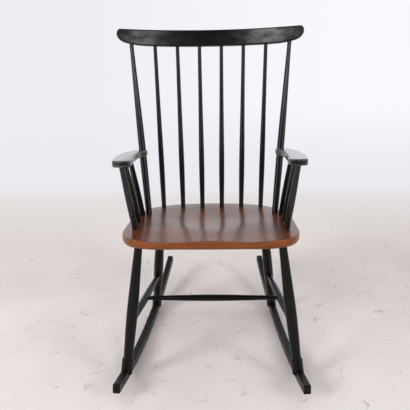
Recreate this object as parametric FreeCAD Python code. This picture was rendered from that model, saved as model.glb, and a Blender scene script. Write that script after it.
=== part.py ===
import FreeCAD, Part
import math
import os

# Rocking chair of turned and sawn wood: spindle back, saddle seat, arms and two rockers.
# Millimetres. X points right as seen from the front, Y to the back, Z up from the floor.
# The origin is on the floor, halfway between the front and the rear tips of the rockers.

os.makedirs("parts", exist_ok=True)

V = FreeCAD.Vector
X_AXIS = V(1, 0, 0)
Z_AXIS = V(0, 0, 1)
ORIGIN = V(0, 0, 0)
FULL_TURN = 360.0

# Fit of every round tenon and slot, and how far cutting tools run past the wood.
joint_clearance = 0.2
cut_overrun = 12.0

# Lengths that a turned profile is made in.
turning_spans = 10

# Seat: a thick board, hollowed on top, sloping down to the back.
seat_setback = 108.0
seat_width = 530.0
seat_depth = 434.0
seat_thickness = 28.0
seat_front_height = 466.0
seat_rear_drop = 28.0
seat_top_round = 5.0
seat_bottom_round = 13.0
seat_allowance = 3.0
seat_outline_shares = (
    (0.0, 0.0), (0.354, 0.002), (0.667, 0.010), (0.893, 0.070), (0.9875, 0.185),
    (0.9945, 0.36), (0.97, 0.62), (0.819, 0.84), (0.607, 0.937), (0.303, 0.984), (0.0, 1.0),
)
hollow_depth = 10.0
thigh_depth = 4.5
sitting_centre_share = 0.58
sitting_width_share = 0.86
sitting_length_share = 0.40
thigh_centre_share = 0.43
thigh_width_share = 0.40
thigh_length_share = 0.75
saddle_steps = 14

# Crest rail: a bent board that leans back with the spindles.
crest_overhang = 37.5
crest_height = 52.5
crest_thickness = 21.0
crest_end_thickness = 18.0
crest_bow = 57.0
crest_bottom_height = 976.5
crest_lean_deg = 12.0
crest_edge_round = 4.0
crest_camber = 1.5
crest_end_reach = 121.0
crest_end_shares = (
    (0.0, 0.0), (0.475, 0.037), (0.7075, 0.115), (0.89, 0.255), (0.97, 0.43),
    (1.0, 0.67), (0.98, 0.88), (0.92, 1.0),
)

# Rockers: curved bars that stand on edge and draw together towards the back.
rocker_length = 850.0
rocker_radius = 1700.0
rocker_height = 28.0
rocker_width = 21.5
rocker_edge_round = 3.0
rocker_tip_round = 5.0
rocker_front_overhang = 9.3
rocker_rear_inset = 73.2
balance_setback = 356.5

# Back: six spindles between two outer posts.
spindle_count = 6
spindle_seat_pitch = 67.5
spindle_crest_pitch = 73.3
spindle_edge_distance = 55.0
back_rake = 94.0
spindle_foot_diameter = 15.8
spindle_swell_diameter = 18.4
spindle_head_diameter = 12.2
spindle_tenon = 18.0
crest_tenon = 25.0
spindle_shares = (0.04, 0.20, 0.58, 0.97)
post_inset = 54.0
post_edge_distance = 134.0
post_head_inset = 44.5
post_foot_diameter = 21.0
post_swell_diameter = 23.0
post_head_diameter = 13.5
post_shares = (0.03, 0.22, 0.46, 0.72, 0.96)

# Arms: flat paddles on three short spindles each, threaded on the outer posts.
arm_length = 276.0
arm_width = 60.0
arm_thickness = 19.5
arm_front_height = 678.0
arm_rear_drop = 26.0
arm_edge_round = 4.0
arm_corner_round = 9.0
arm_eye_inset = 17.0
arm_side_shares = (
    (0.865, -0.928), (0.965, -0.717), (0.975, -0.536), (0.90, -0.319), (0.685, -0.138),
    (0.38, 0.016), (0.05, 0.0616), (-0.245, 0.018), (-0.265, -0.06), (-0.04, -0.18),
    (0.045, -0.33), (0.05, -0.52), (0.005, -0.73), (-0.047, -0.938),
)
arm_front_share = (0.41, -0.956)
arm_spindle_foot_diameter = 18.5
arm_spindle_swell_diameter = 20.0
arm_spindle_head_diameter = 15.5
arm_spindle_tenon = 12.0
arm_spindle_shares = (0.08, 0.36, 0.92)
arm_spindle_foot_insets = (36.0, 33.0, 35.0)
arm_spindle_foot_setbacks = (121.5, 204.5, 283.0)
arm_spindle_head_setbacks = (19.0, 73.0, 129.0)
arm_spindle_head_offsets = (26.5, 25.5, 19.0)

# Legs: turned, thickest at the stretchers, with a slotted foot that straddles the rocker.
# Their axes meet the rockers a little inside the rockers' middle.
leg_top_diameter = 24.0
leg_swell_diameter = 34.0
leg_ankle_diameter = 28.5
leg_foot_diameter = 35.5
leg_foot_height = 34.0
leg_foot_round = 3.0
leg_cheek_depth = 15.0
leg_inboard = 3.0
leg_tenon = 18.0
leg_shares = (0.04, 0.28, 0.62, 0.82, 0.97)
front_leg_inset = 55.5
front_leg_setback = 48.0
rear_leg_inset = 91.0
rear_leg_edge_distance = 121.0
front_foot_setback = 110.0
rear_foot_setback = 310.0
pin_diameter = 7.0
pin_depth_share = 0.5

# Stretchers: one each side between the legs, and one across between those two.
stretcher_front_height = 195.0
stretcher_rear_height = 174.0
stretcher_end_diameter = 18.0
stretcher_swell_diameter = 24.0
stretcher_shares = (0.03, 0.46, 0.97)
stretcher_tenon = 13.0
cross_setback_share = 0.475
cross_end_diameter = 13.5
cross_swell_diameter = 21.5
cross_tenon = 8.0

# Sizes and places that follow from the sizes above.
crest_length = seat_width + 2 * crest_overhang
rocker_front_spread = seat_width + 2 * rocker_front_overhang
rocker_rear_spread = seat_width - 2 * rocker_rear_inset
front_tip_y = -rocker_length / 2
rear_tip_y = rocker_length / 2
balance_y = front_tip_y + balance_setback
seat_front_y = front_tip_y + seat_setback
seat_slope = math.asin(seat_rear_drop / seat_depth)


def between(start, end, share):
    """The point at a share of the way from start to end."""
    return start + (end - start) * share


def along(start, end):
    """The unit direction from start to end."""
    return (end - start).normalize()


def aimed(shape, start, direction):
    """A shape made up the Z axis, set at start and turned to direction."""
    placed = shape.copy()
    placed.Placement = FreeCAD.Placement(start, FreeCAD.Rotation(Z_AXIS, direction))
    return placed


def mirrored(shape):
    """The same piece for the other side of the chair."""
    return shape.mirror(ORIGIN, X_AXIS)


def rod(start, end, diameter):
    """A plain round bar or hole from start to end."""
    bar = Part.makeCylinder(diameter / 2, start.distanceToPoint(end))
    return aimed(bar, start, along(start, end))


def smooth(points, **tangents):
    """A smooth curve through the points."""
    curve = Part.BSplineCurve()
    curve.interpolate(Points=points, **tangents)
    return curve


def spans(curve):
    """A turned profile as edges that each cover a part of it."""
    reach = (curve.LastParameter - curve.FirstParameter) / turning_spans
    starts = [curve.FirstParameter + reach * number for number in range(turning_spans)]
    return [curve.toShape(start, start + reach) for start in starts]


def turned(start, end, stations):
    """A turned stick. Stations are pairs of a distance from the start and a diameter."""
    length = start.distanceToPoint(end)
    outline = [V(diameter / 2, 0, distance) for distance, diameter in stations]
    foot = Part.makeLine(ORIGIN, outline[0])
    head = Part.makeLine(outline[-1], V(0, 0, length))
    core = Part.makeLine(V(0, 0, length), ORIGIN)
    face = Part.Face(Part.Wire([foot, *spans(smooth(outline)), head, core]))
    return aimed(face.revolve(ORIGIN, Z_AXIS, FULL_TURN), start, along(start, end))


def joined(*solids):
    """Solids of one piece made into one."""
    piece = solids[0].fuse(list(solids[1:])).removeSplitter()
    return piece.Solids[0]


class Stick:
    """A turned stick between two joints, with a straight tenon past each end."""

    def __init__(self, foot, head, diameters, shares, foot_tenon, head_tenon):
        self.foot = foot
        self.head = head
        self.axis = along(foot, head)
        self.length = foot.distanceToPoint(head)
        self.diameters = diameters
        self.shares = shares
        self.foot_end = foot - self.axis * foot_tenon
        self.head_end = head + self.axis * head_tenon

    def solid(self):
        """The stick: two straight tenons and the swelling length between them."""
        stations = [(share * self.length, size) for share, size in zip(self.shares, self.diameters)]
        first = self.foot + self.axis * stations[0][0]
        last = self.foot + self.axis * stations[-1][0]
        moved = [(distance - stations[0][0], size) for distance, size in stations]
        body = turned(first, last, moved)
        foot_tenon = rod(self.foot_end, first, self.diameters[0])
        head_tenon = rod(last, self.head_end, self.diameters[-1])
        return joined(body, foot_tenon, head_tenon)

    def foot_socket(self):
        """The hole that takes the foot tenon."""
        start = self.foot_end - self.axis * joint_clearance
        end = self.foot + self.axis * cut_overrun
        return rod(start, end, self.diameters[0] + 2 * joint_clearance)

    def head_socket(self):
        """The hole that takes the head tenon."""
        start = self.head - self.axis * cut_overrun
        end = self.head_end + self.axis * joint_clearance
        return rod(start, end, self.diameters[-1] + 2 * joint_clearance)


# Seat board, in its own frame: x across, y back from the front edge, z up from the top.
seat_placement = FreeCAD.Placement(
    V(0, seat_front_y, seat_front_height),
    FreeCAD.Rotation(X_AXIS, -math.degrees(seat_slope)),
)


def seat_point(x, setback, height=0):
    """A point given on the seat board, in the chair's frame."""
    return seat_placement.multVec(V(x, setback, height))


def bump(share):
    """One at zero, falling smoothly to nothing at one."""
    return (1 + math.cos(math.pi * min(1, abs(share)))) / 2


def saddle(x, setback):
    """How far the hollowed top lies below the board's flat top."""
    half = seat_width / 2
    across = x / (sitting_width_share * half)
    back = (setback - sitting_centre_share * seat_depth) / (sitting_length_share * seat_depth)
    sitting = hollow_depth * bump(math.hypot(across, back))
    beside = (abs(x) - thigh_centre_share * half) / (thigh_width_share * half)
    thigh = thigh_depth * bump(beside) * bump(setback / (thigh_length_share * seat_depth))
    return math.hypot(sitting, thigh)


def saddle_tool():
    """All that is carved away above the saddle."""
    rows = []
    for row in range(saddle_steps + 1):
        x = (row / saddle_steps - 1 / 2) * (seat_width + 2 * cut_overrun)
        line = []
        for column in range(saddle_steps + 1):
            setback = column / saddle_steps * (seat_depth + 2 * cut_overrun) - cut_overrun
            line.append(V(x, setback, -saddle(x, setback)))
        rows.append(line)
    surface = Part.BSplineSurface()
    surface.interpolate(rows)
    return surface.toShape().extrude(V(0, 0, hollow_depth + cut_overrun))


def seat_blank():
    """The board sawn to outline, hollowed and with its edges rounded over."""
    half = [V(x * seat_width / 2, v * seat_depth, -seat_thickness) for x, v in seat_outline_shares]
    right = smooth(half, InitialTangent=X_AXIS, FinalTangent=-X_AXIS).toShape()
    face = Part.Face(Part.Wire([right, mirrored(right)]))
    board = face.extrude(V(0, 0, seat_thickness + seat_allowance)).cut(saddle_tool())
    middle = -seat_thickness / 2
    bottom = [edge for edge in board.Edges if edge.BoundBox.ZMax < middle]
    board = board.makeFillet(seat_bottom_round, bottom)
    top = [edge for edge in board.Edges if edge.BoundBox.ZMin > middle]
    return board.makeFillet(seat_top_round, top)


# Crest rail, in its own frame: x across, y back, z up from its lower edge.
crest_radius = ((crest_length / 2) ** 2 + crest_bow ** 2) / (2 * crest_bow)
crest_y = seat_point(0, seat_depth - spindle_edge_distance).y + back_rake
crest_placement = FreeCAD.Placement(
    V(0, crest_y, crest_bottom_height),
    FreeCAD.Rotation(X_AXIS, -crest_lean_deg),
)


def crest_line(x):
    """How far back the middle of the rail lies at x."""
    return math.sqrt(crest_radius ** 2 - x ** 2) - crest_radius


def crest_point(x):
    """The middle of the rail's lower edge at x, in the chair's frame."""
    return crest_placement.multVec(V(x, crest_line(x), 0))


def crest_face_arc(side):
    """The bent face of the rail seen from above: side is -1 in front and 1 behind."""
    reach = crest_length / 2 + cut_overrun
    end = crest_line(reach) + side * crest_end_thickness / 2
    return Part.Arc(V(-reach, end, 0), V(0, side * crest_thickness / 2, 0), V(reach, end, 0)).toShape()


def crest_blank():
    """The bent board cut to the rail's outline, with its edges rounded."""
    front = crest_face_arc(-1)
    back = crest_face_arc(1)
    right = Part.makeLine(front.Vertexes[-1].Point, back.Vertexes[-1].Point)
    left = Part.makeLine(back.Vertexes[0].Point, front.Vertexes[0].Point)
    bent = Part.Face(Part.Wire([front, right, back, left])).extrude(V(0, 0, crest_height + cut_overrun))
    bent.translate(V(0, 0, -cut_overrun / 2))
    end_height = crest_height - crest_camber
    start_y = -crest_bow - cut_overrun
    end_start = crest_length / 2 - crest_end_reach
    end = [V(end_start + x * crest_end_reach, start_y, z * end_height) for x, z in crest_end_shares]
    half = end[-1].x
    into_top = V(crest_camber ** 2 - half ** 2, 0, 2 * crest_camber * half)
    right_end = smooth(end, InitialTangent=X_AXIS, FinalTangent=into_top).toShape()
    bottom = Part.makeLine(V(-end[0].x, start_y, 0), end[0])
    top = Part.Arc(end[-1], V(0, start_y, crest_height), V(-end[-1].x, start_y, end_height)).toShape()
    outline = Part.Face(Part.Wire([bottom, right_end, top, mirrored(right_end)]))
    board = bent.common(outline.extrude(V(0, crest_bow + 2 * cut_overrun, 0))).Solids[0]
    long_edges = [edge for edge in board.Edges if edge.Length > crest_thickness]
    return board.makeFillet(crest_edge_round, long_edges)


def back_spindle(number):
    """One of the spindles, counted from the left."""
    place = number - (spindle_count + 1) / 2
    foot = seat_point(place * spindle_seat_pitch, seat_depth - spindle_edge_distance)
    head = crest_point(place * spindle_crest_pitch)
    waist = (spindle_swell_diameter + spindle_head_diameter) / 2
    sizes = (spindle_foot_diameter, spindle_swell_diameter, waist, spindle_head_diameter)
    return Stick(foot, head, sizes, spindle_shares, spindle_tenon, crest_tenon)


def back_post():
    """The thicker stick at the right end of the row, which the arm is threaded on."""
    foot = seat_point(seat_width / 2 - post_inset, seat_depth - post_edge_distance)
    head = crest_point(crest_length / 2 - post_head_inset)
    sizes = (post_foot_diameter, post_swell_diameter, post_swell_diameter,
             (post_swell_diameter + post_head_diameter) / 2, post_head_diameter)
    return Stick(foot, head, sizes, post_shares, spindle_tenon, crest_tenon)


# Arms, in shares of their width and length from where the post's axis meets their top.
arm_slope = math.asin(arm_rear_drop / arm_length)
arm_eye_height = arm_front_height - arm_rear_drop * (arm_length - arm_eye_inset) / arm_length


def arm_placement(post):
    """The right arm's frame, where the post's axis meets the arm's top."""
    rise = (arm_eye_height - post.foot.z) / post.axis.z
    return FreeCAD.Placement(
        post.foot + post.axis * rise,
        FreeCAD.Rotation(X_AXIS, -math.degrees(arm_slope)),
    )


def arm_blank():
    """The paddle sawn to outline, with its edges rounded."""
    sides = [V(x * arm_width, y * arm_length, -arm_thickness) for x, y in arm_side_shares]
    middle = V(arm_front_share[0] * arm_width, arm_front_share[1] * arm_length, -arm_thickness)
    front = Part.Arc(sides[-1], middle, sides[0]).toShape()
    outline = Part.Wire([smooth(sides).toShape(), front])
    board = Part.Face(outline).extrude(V(0, 0, arm_thickness))
    upright = [edge for edge in board.Edges if edge.BoundBox.ZLength > arm_thickness / 2]
    board = board.makeFillet(arm_corner_round, upright)
    flat = [edge for edge in board.Edges if edge.BoundBox.ZLength < arm_thickness / 2]
    return board.makeFillet(arm_edge_round, flat)


def arm_spindle(index, placement):
    """A short spindle under the right arm, counted from the front."""
    foot = seat_point(seat_width / 2 - arm_spindle_foot_insets[index], arm_spindle_foot_setbacks[index])
    front = arm_eye_inset - arm_length
    place = V(arm_spindle_head_offsets[index], front + arm_spindle_head_setbacks[index], -arm_thickness)
    sizes = (arm_spindle_foot_diameter, arm_spindle_swell_diameter, arm_spindle_head_diameter)
    return Stick(foot, placement.multVec(place), sizes, arm_spindle_shares,
                 spindle_tenon, arm_spindle_tenon)


# Rockers, each in a frame that runs back along the bar from its lowest point.
rocker_toe = math.atan((rocker_front_spread - rocker_rear_spread) / 2 / rocker_length)


def rocker_x(y):
    """The right rocker's centre line at y."""
    share = (y - front_tip_y) / rocker_length
    return (rocker_front_spread + (rocker_rear_spread - rocker_front_spread) * share) / 2


def rocker_rise(y):
    """The height of the rocker's underside at y."""
    run = (y - balance_y) / math.cos(rocker_toe)
    return rocker_radius - math.sqrt(rocker_radius ** 2 - run ** 2)


def rocker_bar(top_radius, sole_radius, width):
    """A curved bar between two radii, in the right rocker's place."""
    front = -math.asin(balance_setback / math.cos(rocker_toe) / rocker_radius)
    rear = math.asin((rocker_length - balance_setback) / math.cos(rocker_toe) / rocker_radius)
    middle = (front + rear) / 2

    def at(radius, angle):
        return V(radius * math.sin(angle), -width / 2, rocker_radius - radius * math.cos(angle))

    sole = Part.Arc(at(sole_radius, front), at(sole_radius, middle), at(sole_radius, rear)).toShape()
    top = Part.Arc(at(top_radius, rear), at(top_radius, middle), at(top_radius, front)).toShape()
    tip = Part.makeLine(at(sole_radius, rear), at(top_radius, rear))
    toe = Part.makeLine(at(top_radius, front), at(sole_radius, front))
    return Part.Face(Part.Wire([sole, tip, top, toe])).extrude(V(0, width, 0))


def rocker_placed(bar):
    """A bar from rocker_bar, turned and moved to the right rocker's place."""
    quarter = FULL_TURN / 4
    placed = bar.copy()
    placed.Placement = FreeCAD.Placement(
        V(rocker_x(balance_y), balance_y, 0),
        FreeCAD.Rotation(Z_AXIS, quarter + math.degrees(rocker_toe)),
    )
    return placed


def rocker_blank():
    """The right rocker with rounded tips and softened edges."""
    bar = rocker_bar(rocker_radius - rocker_height, rocker_radius, rocker_width)
    across = [edge for edge in bar.Edges if edge.BoundBox.YLength > rocker_width / 2]
    bar = bar.makeFillet(rocker_tip_round, across)
    sides = [edge for edge in bar.Edges if edge.BoundBox.YLength < rocker_width / 2]
    return rocker_placed(bar.makeFillet(rocker_edge_round, sides))


class Leg:
    """A turned leg, with a round, slotted foot that straddles the rocker."""

    def __init__(self, top, foot_y):
        rocker_top = rocker_rise(foot_y) + rocker_height
        self.foot = V(rocker_x(foot_y) - leg_inboard, foot_y, rocker_top)
        self.axis = along(top, self.foot)
        ankle = self.foot - self.axis * leg_foot_height
        sizes = (leg_top_diameter, (leg_top_diameter + leg_swell_diameter) / 2, leg_swell_diameter,
                 (leg_swell_diameter + leg_ankle_diameter) / 2, leg_ankle_diameter)
        self.stick = Stick(top, ankle, sizes, leg_shares, leg_tenon, leg_foot_height / 2)

    def at_height(self, height):
        """The point of the axis at a height above the floor."""
        return self.foot + self.axis * ((height - self.foot.z) / self.axis.z)

    def foot_block(self):
        """The round foot before it is slotted."""
        round_foot = Part.makeCylinder(leg_foot_diameter / 2, leg_foot_height + leg_cheek_depth)
        ends = [edge for edge in round_foot.Edges if edge.BoundBox.ZLength < leg_cheek_depth]
        round_foot = round_foot.makeFillet(leg_foot_round, ends)
        return aimed(round_foot, self.stick.head, self.axis)

    def pin_line(self):
        """The two ends of the pin's hole, square across the rocker."""
        centre = self.foot + self.axis * leg_cheek_depth * pin_depth_share
        square = V(math.cos(rocker_toe), math.sin(rocker_toe), 0)
        return centre - square * leg_foot_diameter, centre + square * leg_foot_diameter

    def pin(self):
        """The wooden pin through both cheeks and the rocker, flush with the foot."""
        return rod(*self.pin_line(), pin_diameter).common(self.foot_block()).Solids[0]

    def pin_hole(self):
        """The hole for the pin."""
        return rod(*self.pin_line(), pin_diameter + 2 * joint_clearance)

    def solid(self, sockets):
        """The finished leg, slotted over the rocker and bored for its stretcher."""
        slot_top = rocker_radius - rocker_height - joint_clearance
        slot = rocker_placed(rocker_bar(slot_top, rocker_radius + cut_overrun,
                                        rocker_width + 2 * joint_clearance))
        whole = joined(self.stick.solid(), self.foot_block())
        return whole.cut([slot, self.pin_hole(), *sockets]).Solids[0]


def stretcher(start, end, diameters, host_diameter, tenon):
    """A stretcher between two axes, its tenons let into the round pieces it meets."""
    direction = along(start, end)
    reach = host_diameter / 2
    return Stick(start + direction * reach, end - direction * reach, diameters,
                 stretcher_shares, tenon, tenon)


def build():
    """All pieces by node name. The right side is made, and the left side mirrored from it."""
    nodes = {}
    spindles = [back_spindle(number) for number in range(1, spindle_count + 1)]
    post = back_post()
    arm_frame = arm_placement(post)
    arm_spindles = [arm_spindle(index, arm_frame) for index in range(len(arm_spindle_foot_insets))]
    front_leg = Leg(
        seat_point(seat_width / 2 - front_leg_inset, front_leg_setback, -seat_thickness),
        front_tip_y + front_foot_setback,
    )
    rear_leg = Leg(
        seat_point(seat_width / 2 - rear_leg_inset, seat_depth - rear_leg_edge_distance, -seat_thickness),
        rear_tip_y - rear_foot_setback,
    )
    front_joint = front_leg.at_height(stretcher_front_height)
    rear_joint = rear_leg.at_height(stretcher_rear_height)
    side_sizes = (stretcher_end_diameter, stretcher_swell_diameter, stretcher_end_diameter)
    side = stretcher(front_joint, rear_joint, side_sizes, leg_swell_diameter, stretcher_tenon)
    right_end = between(front_joint, rear_joint, cross_setback_share)
    left_end = V(-right_end.x, right_end.y, right_end.z)
    cross_sizes = (cross_end_diameter, cross_swell_diameter, cross_end_diameter)
    cross = stretcher(left_end, right_end, cross_sizes, stretcher_swell_diameter, cross_tenon)

    seat = seat_blank()
    seat.Placement = seat_placement
    one_side = [post.foot_socket(), front_leg.stick.foot_socket(), rear_leg.stick.foot_socket()]
    one_side += [stick.foot_socket() for stick in arm_spindles]
    other_side = [mirrored(socket) for socket in one_side]
    middle = [stick.foot_socket() for stick in spindles]
    nodes["seat"] = seat.cut(one_side + other_side + middle).Solids[0]

    crest = crest_blank()
    crest.Placement = crest_placement
    post_hole = post.head_socket()
    crest_sockets = [stick.head_socket() for stick in spindles]
    nodes["crest_rail"] = crest.cut(crest_sockets + [post_hole, mirrored(post_hole)]).Solids[0]
    for number, stick in enumerate(spindles, start=1):
        nodes["back_spindle_%d" % number] = stick.solid()

    arm = arm_blank()
    arm.Placement = arm_frame
    grown = Stick(post.foot, post.head, tuple(size + 2 * joint_clearance for size in post.diameters),
                  post.shares, spindle_tenon, crest_tenon)
    arm = arm.cut([grown.solid()] + [stick.head_socket() for stick in arm_spindles]).Solids[0]

    rocker = rocker_blank().cut([front_leg.pin_hole(), rear_leg.pin_hole()]).Solids[0]
    pins = [front_leg.pin(), rear_leg.pin()]
    pairs = {
        "back_post": post.solid(),
        "arm": arm,
        "arm_spindle_front": arm_spindles[0].solid(),
        "arm_spindle_middle": arm_spindles[1].solid(),
        "arm_spindle_rear": arm_spindles[2].solid(),
        "front_leg": front_leg.solid([side.foot_socket()]),
        "rear_leg": rear_leg.solid([side.head_socket()]),
        "side_stretcher": side.solid().cut(cross.head_socket()).Solids[0],
        "rocker": rocker,
    }
    for name, piece in pairs.items():
        nodes[name + "_right"] = piece
        nodes[name + "_left"] = mirrored(piece)
    nodes["cross_stretcher"] = cross.solid()
    nodes["rocker_pins"] = Part.makeCompound(pins + [mirrored(pin) for pin in pins])
    return nodes


def report(nodes):
    """Print the box and the balance point, which the rockers' lowest point must lie under."""
    whole = Part.makeCompound(list(nodes.values()))
    box = whole.optimalBoundingBox(True, False)
    solids = whole.Solids
    volume = sum(solid.Volume for solid in solids)
    balance = sum((solid.CenterOfMass * solid.Volume for solid in solids), V(0, 0, 0)) * (1 / volume)
    print("box x %.1f %.1f y %.2f %.2f z %.2f %.1f" % (box.XMin, box.XMax, box.YMin, box.YMax,
                                                      box.ZMin, box.ZMax))
    print("volume %.0f balance y %.2f z %.1f, lowest point y %.2f" % (volume, balance.y, balance.z,
                                                                     balance_y))


nodes = build()
for name, shape in nodes.items():
    shape.exportStep("parts/%s.step" % name)
report(nodes)
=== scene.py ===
"""Rocking chair in a plain studio: black lacquered sticks and boards round a varnished wooden seat.

Metres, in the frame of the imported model: X to the right as seen from the front, Y to the back,
Z up from the floor.
"""
import logging
import math
from collections.abc import Callable, Sequence
from dataclasses import dataclass, field, replace
from enum import Enum

import bmesh
import bpy
import numpy as np
from mathutils import Matrix, Vector


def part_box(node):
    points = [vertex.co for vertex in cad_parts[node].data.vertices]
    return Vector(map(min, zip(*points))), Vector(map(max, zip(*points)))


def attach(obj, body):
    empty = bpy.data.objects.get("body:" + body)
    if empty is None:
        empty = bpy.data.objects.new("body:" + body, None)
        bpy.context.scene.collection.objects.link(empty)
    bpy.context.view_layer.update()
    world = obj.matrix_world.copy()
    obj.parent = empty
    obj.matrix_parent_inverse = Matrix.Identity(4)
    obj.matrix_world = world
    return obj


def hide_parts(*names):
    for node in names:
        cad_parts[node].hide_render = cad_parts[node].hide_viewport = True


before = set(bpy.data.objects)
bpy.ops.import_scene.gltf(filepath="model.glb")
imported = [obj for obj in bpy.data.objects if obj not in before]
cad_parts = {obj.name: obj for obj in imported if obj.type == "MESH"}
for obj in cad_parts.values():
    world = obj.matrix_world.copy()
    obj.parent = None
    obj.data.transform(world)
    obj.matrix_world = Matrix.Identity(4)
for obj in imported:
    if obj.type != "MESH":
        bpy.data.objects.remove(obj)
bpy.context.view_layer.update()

LOG = logging.getLogger("rocking_chair")
BODY = "root"
MM = 0.001
SIDES = (("right", 1), ("left", -1))
Spot = tuple[float, float]
Colour = tuple[float, float, float, float]


class Pick(Enum):
    """What a selection holds."""

    VERTS = "VERT"
    EDGES = "EDGE"
    FACES = "FACE"


class Glow(Enum):
    """What a lamp does: light matt surfaces, show in glossy ones, or both, as (matt, glossy)."""

    MATT = (True, False)
    GLOSS = (False, True)
    BOTH = (True, True)


class Slot(Enum):
    """Two material slot names."""

    BLACK = "black_wood"
    SEAT = "seat_wood"


def spline(points: Sequence[Sequence[float]], count: int, start: Sequence[float] | None = None,
           end: Sequence[float] | None = None) -> np.ndarray:
    """A smooth curve through some points, evenly divided.

    Args:
        points: The points, in order.
        count: How many points come back, both ends included.
        start: The direction at the first point, or None where it is free.
        end: The direction at the last point, or None where it is free.

    Returns:
        The points of the curve, one row each.
    """
    places = np.array(points, float)
    steps = np.linalg.norm(np.diff(places, axis=0), axis=1)
    along = np.concatenate([[0.0], np.cumsum(steps)])
    last = len(places) - 1
    system = np.zeros((last + 1, last + 1))
    wanted = np.zeros_like(places)
    for row in range(1, last):
        before, after = steps[row - 1], steps[row]
        system[row, row - 1:row + 2] = after, 2 * (before + after), before
        slope_before = (places[row] - places[row - 1]) / before
        slope_after = (places[row + 1] - places[row]) / after
        wanted[row] = 3 * (after * slope_before + before * slope_after)
    for row, other, given in ((0, 1, start), (last, last - 1, end)):
        system[row, row] = 1.0 if given is not None else 2.0
        if given is not None:
            wanted[row] = np.array(given, float) / np.linalg.norm(given)
        else:
            system[row, other] = 1.0
            span = abs(along[row] - along[other])
            wanted[row] = 3 * (places[max(row, other)] - places[min(row, other)]) / span
    slopes = np.linalg.solve(system, wanted)
    result = []
    for distance in np.linspace(0, along[-1], count):
        index = min(int(np.searchsorted(along, distance, side="right")) - 1, last - 1)
        share = (distance - along[index]) / steps[index]
        square, cube = share ** 2, share ** 3
        result.append((2 * cube - 3 * square + 1) * places[index]
                      + (cube - 2 * square + share) * steps[index] * slopes[index]
                      + (3 * square - 2 * cube) * places[index + 1]
                      + (cube - square) * steps[index] * slopes[index + 1])
    return np.array(result)


def arc(start: Spot, middle_rise: float, end: Spot, count: int) -> np.ndarray:
    """A shallow arc between two points.

    Args:
        start: The first point.
        middle_rise: How far the middle stands to the left of the line from start to end.
        end: The last point.
        count: How many points come back, both ends included.

    Returns:
        The points of the arc, one row each.
    """
    first, last = np.array(start, float), np.array(end, float)
    chord = last - first
    left = np.array([-chord[1], chord[0]]) / np.linalg.norm(chord)
    shares = np.linspace(0, 1, count)[:, None]
    return first + chord * shares + left * middle_rise * 4 * shares * (1 - shares)


def softened(outline: np.ndarray, corner: int, reach: float, steps: int) -> np.ndarray:
    """An outline with one corner rounded.

    Args:
        outline: The points of the closed outline.
        corner: The index of the corner.
        reach: How far from the corner the rounding starts, along both sides.
        steps: How many points the rounding gets.

    Returns:
        The new outline, which starts after the corner.
    """
    turned = np.roll(outline, -corner, axis=0)
    tip = turned[0]
    far = np.linalg.norm(turned - tip, axis=1) > reach
    kept = turned[far]
    shares = np.linspace(0, 1, steps + 2)[1:-1, None]
    bend = (1 - shares) ** 2 * kept[-1] + 2 * shares * (1 - shares) * tip + shares ** 2 * kept[0]
    return np.concatenate([kept, bend])


class Bench:
    """Hand tools for shaping one mesh. Each tool works on what is selected."""

    def __init__(self, piece: bpy.types.Object) -> None:
        """Take a piece to the bench and open it for editing.

        Args:
            piece: The mesh object to shape.
        """
        self.piece = piece
        clear_selection()
        piece.select_set(True)
        bpy.context.view_layer.objects.active = piece
        bpy.ops.object.mode_set(mode="EDIT")

    def pick(self, kind: Pick, test: Callable[[Vector, Vector], bool]) -> None:
        """Select the parts that pass a test, and nothing else.

        Args:
            kind: Whether vertices, edges or faces are wanted.
            test: Says yes or no to a part, from its middle and its normal, or an edge's direction.
        """
        bpy.ops.mesh.select_mode(type=kind.value)
        bpy.ops.mesh.select_all(action="DESELECT")
        mesh = bmesh.from_edit_mesh(self.piece.data)
        if kind is Pick.FACES:
            for face in mesh.faces:
                face.select = test(face.calc_center_median(), face.normal)
        elif kind is Pick.EDGES:
            for edge in mesh.edges:
                first, last = (vert.co for vert in edge.verts)
                edge.select = test((first + last) / 2, (last - first).normalized())
        else:
            for vert in mesh.verts:
                vert.select = test(vert.co, vert.normal)
        mesh.select_flush_mode()
        bmesh.update_edit_mesh(self.piece.data)

    def extrude(self, step: Sequence[float]) -> None:
        """Draw the selected faces out by a step."""
        bpy.ops.mesh.extrude_region_move(TRANSFORM_OT_translate={"value": step})

    def resize(self, factors: Sequence[float], centre: Sequence[float]) -> None:
        """Scale what is selected about a centre."""
        bpy.ops.transform.resize(value=factors, center_override=centre)

    def bevel(self, width: float, segments: int) -> None:
        """Round the selected edges over."""
        bpy.ops.mesh.bevel(offset=width, segments=segments, profile=0.5, affect="EDGES")

    def close(self) -> bpy.types.Object:
        """Turn all faces outwards and leave the bench.

        Returns:
            The shaped piece.
        """
        bpy.ops.mesh.select_mode(type=Pick.VERTS.value)
        bpy.ops.mesh.select_all(action="SELECT")
        bpy.ops.mesh.normals_make_consistent(inside=False)
        bpy.ops.object.mode_set(mode="OBJECT")
        return self.piece


def clear_selection() -> None:
    """Deselect every object."""
    bpy.ops.object.select_all(action="DESELECT")


def rows_of(piece: bpy.types.Object) -> np.ndarray:
    """All vertices of a mesh object, one row each."""
    rows = np.empty(len(piece.data.vertices) * 3, np.float32)
    piece.data.vertices.foreach_get("co", rows)
    return rows.reshape(-1, 3).astype(float)


def set_rows(piece: bpy.types.Object, rows: np.ndarray) -> None:
    """Move all vertices of a mesh object to new places."""
    piece.data.vertices.foreach_set("co", rows.astype(np.float32).ravel())
    piece.data.update()


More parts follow.
